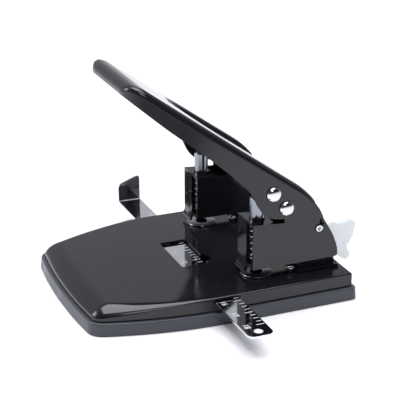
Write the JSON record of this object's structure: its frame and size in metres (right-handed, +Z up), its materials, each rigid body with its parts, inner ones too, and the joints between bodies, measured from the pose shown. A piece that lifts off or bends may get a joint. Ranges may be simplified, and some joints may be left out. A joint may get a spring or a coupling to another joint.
{
  "type": "two-hole paper punch",
  "caption": "Desk paper punch: a hinged wishbone handle drives spring-returned punch pins through dies on a base with a sliding paper rule and a chip tray.",
  "frame": {"origin": "on the surface the punch stands on, in its middle plane, below the line that joins the two punch pins", "axes": "+X to the user's right along the rule, +Y towards the pivots at the rear, +Z up"},
  "size_m": [0.1778, 0.1441, 0.1118],
  "materials": {
    "tray_plastic": "satin",
    "black_enamel": "gloss",
    "zinc_plate": "satin",
    "pale_zinc": "satin",
    "spring_steel": "bright",
    "die_steel": "ground",
    "chrome": "polished"
  },
  "bodies": {
    "tray": {"chip_tray": "tray_plastic"},
    "base": {"base_cover": "black_enamel", "left_rule_guide": "zinc_plate", "right_rule_guide": "zinc_plate", "left_head_bracket": "black_enamel", "right_head_bracket": "black_enamel", "left_foot_bracket": "black_enamel", "right_foot_bracket": "black_enamel", "left_die": "die_steel", "right_die": "die_steel", "left_paper_stop": "chrome", "right_paper_stop": "chrome", "left_front_screw": "zinc_plate", "left_rear_screw": "zinc_plate", "right_front_screw": "zinc_plate", "right_rear_screw": "zinc_plate", "left_pivot_rivet": "chrome", "right_pivot_rivet": "chrome", "left_return_spring": "spring_steel", "right_return_spring": "spring_steel", "latch_pin": "zinc_plate"},
    "handle": {"handle_shell": "black_enamel", "left_lever": "black_enamel", "right_lever": "black_enamel", "left_press_roller": "zinc_plate", "right_press_roller": "zinc_plate", "left_upper_dome_rivet": "chrome", "left_lower_dome_rivet": "chrome", "right_upper_dome_rivet": "chrome", "right_lower_dome_rivet": "chrome"},
    "left_punch": {"left_punch_pin": "chrome", "left_spring_collar": "zinc_plate"},
    "right_punch": {"right_punch_pin": "chrome", "right_spring_collar": "zinc_plate"},
    "rule": {"paper_rule": "chrome"},
    "latch": {"lock_latch": "pale_zinc"}
  },
  "joints": [
    {"name": "base_lift", "type": "hinge", "parent": "tray", "child": "base", "pos_m": [0, 0.0436, 0.00635], "axis": [-1, 0, 0], "range_deg": [0, 45]},
    {"name": "handle_press", "type": "hinge", "parent": "base", "child": "handle", "pos_m": [0, 0.029, 0.0358], "axis": [1, 0, 0], "range_deg": [0, 18], "stiffness_Nm_per_rad": 1.2, "springref_deg": -20.05},
    {"name": "left_punch_slide", "type": "slide", "parent": "base", "child": "left_punch", "axis": [0, 0, 1], "range_m": [-0.0095, 0], "deforming": ["left_return_spring"]},
    {"name": "right_punch_slide", "type": "slide", "parent": "base", "child": "right_punch", "axis": [0, 0, 1], "range_m": [-0.0095, 0], "deforming": ["right_return_spring"]},
    {"name": "rule_slide", "type": "slide", "parent": "base", "child": "rule", "axis": [1, 0, 0], "range_m": [-0.035, 0.027]},
    {"name": "latch_swing", "type": "hinge", "parent": "base", "child": "latch", "pos_m": [0.03492, 0.0354, 0.0236], "axis": [1, 0, 0], "range_deg": [0, 20]}
  ],
  "couplings": [
    {"joint": "left_punch_slide", "follows": "handle_press", "m_per_rad": -0.0297},
    {"joint": "right_punch_slide", "follows": "handle_press", "m_per_rad": -0.0297}
  ]
}
